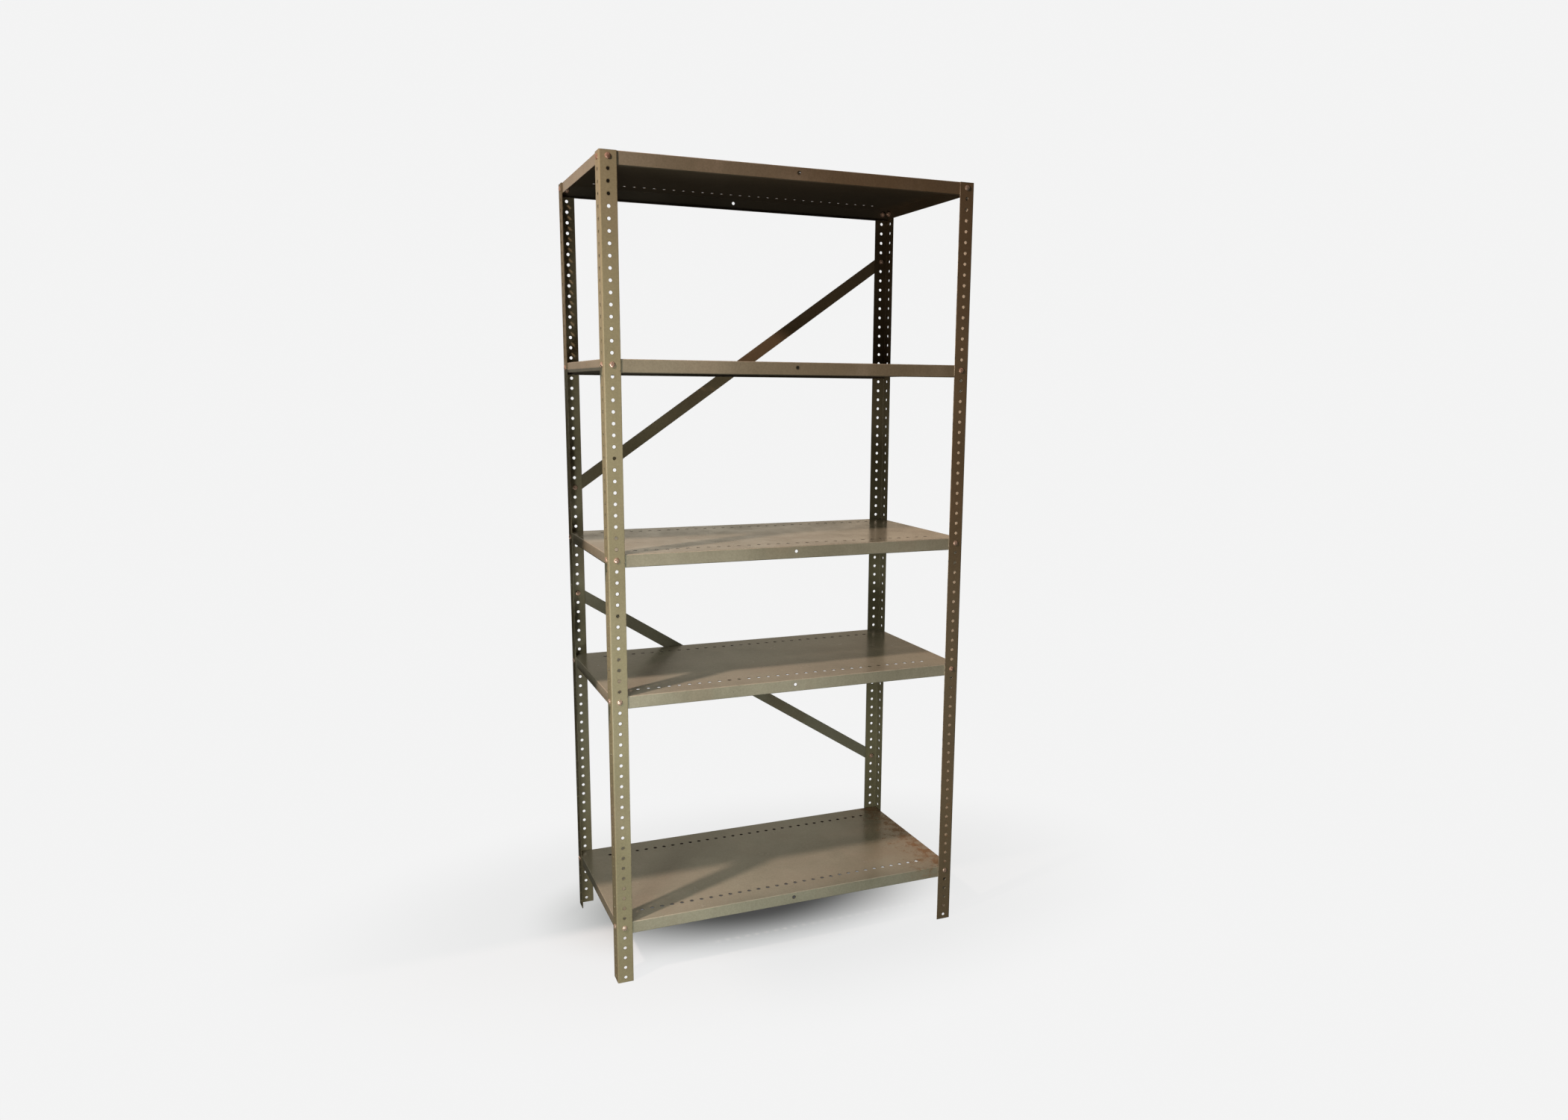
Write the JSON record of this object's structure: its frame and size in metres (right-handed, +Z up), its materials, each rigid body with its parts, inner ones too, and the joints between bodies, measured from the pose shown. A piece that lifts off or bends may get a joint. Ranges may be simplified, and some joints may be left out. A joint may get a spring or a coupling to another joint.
{
  "type": "steel shelving unit",
  "caption": "Open bolted steel shelving unit: perforated angle posts, flat decks with turned-down edges and two diagonal flat braces across the back.",
  "frame": {"origin": "on the floor, under the middle of the unit", "axes": "+X to the right along the width, -Y out of the front, +Z up the posts; the braces are on the +Y side"},
  "size_m": [0.9214, 0.4665, 1.905],
  "materials": {
    "post_paint": "worn semi-gloss khaki enamel",
    "shelf_paint": "worn semi-gloss grey-brown enamel, dusty, rusting at the ends",
    "brace_paint": "worn olive enamel",
    "bolt_plating": "yellow-zinc plated steel, tarnished copper"
  },
  "bodies": {
    "root": {"front_left_post": "post_paint", "front_right_post": "post_paint", "rear_right_post": "post_paint", "rear_left_post": "post_paint", "shelf_1": "shelf_paint", "shelf_2": "shelf_paint", "shelf_3": "shelf_paint", "shelf_4": "shelf_paint", "shelf_5": "shelf_paint", "upper_brace": "brace_paint", "lower_brace": "brace_paint", "bolt_1_front_left_face": "bolt_plating", "bolt_1_front_left_side": "bolt_plating", "bolt_1_front_right_face": "bolt_plating", "bolt_1_front_right_side": "bolt_plating", "bolt_1_rear_right_face": "bolt_plating", "bolt_1_rear_right_side": "bolt_plating", "bolt_1_rear_left_face": "bolt_plating", "bolt_1_rear_left_side": "bolt_plating", "bolt_2_front_left_face": "bolt_plating", "bolt_2_front_left_side": "bolt_plating", "bolt_2_front_right_face": "bolt_plating", "bolt_2_front_right_side": "bolt_plating", "bolt_2_rear_right_face": "bolt_plating", "bolt_2_rear_right_side": "bolt_plating", "bolt_2_rear_left_face": "bolt_plating", "bolt_2_rear_left_side": "bolt_plating", "bolt_3_front_left_face": "bolt_plating", "bolt_3_front_left_side": "bolt_plating", "bolt_3_front_right_face": "bolt_plating", "bolt_3_front_right_side": "bolt_plating", "bolt_3_rear_right_face": "bolt_plating", "bolt_3_rear_right_side": "bolt_plating", "bolt_3_rear_left_face": "bolt_plating", "bolt_3_rear_left_side": "bolt_plating", "bolt_4_front_left_face": "bolt_plating", "bolt_4_front_left_side": "bolt_plating", "bolt_4_front_right_face": "bolt_plating", "bolt_4_front_right_side": "bolt_plating", "bolt_4_rear_right_face": "bolt_plating", "bolt_4_rear_right_side": "bolt_plating", "bolt_4_rear_left_face": "bolt_plating", "bolt_4_rear_left_side": "bolt_plating", "bolt_5_front_left_face": "bolt_plating", "bolt_5_front_left_side": "bolt_plating", "bolt_5_front_right_face": "bolt_plating", "bolt_5_front_right_side": "bolt_plating", "bolt_5_rear_right_face": "bolt_plating", "bolt_5_rear_right_side": "bolt_plating", "bolt_5_rear_left_face": "bolt_plating", "bolt_5_rear_left_side": "bolt_plating", "upper_brace_bolt_left": "bolt_plating", "upper_brace_bolt_right": "bolt_plating", "lower_brace_bolt_left": "bolt_plating", "lower_brace_bolt_right": "bolt_plating"}
  },
  "joints": []
}
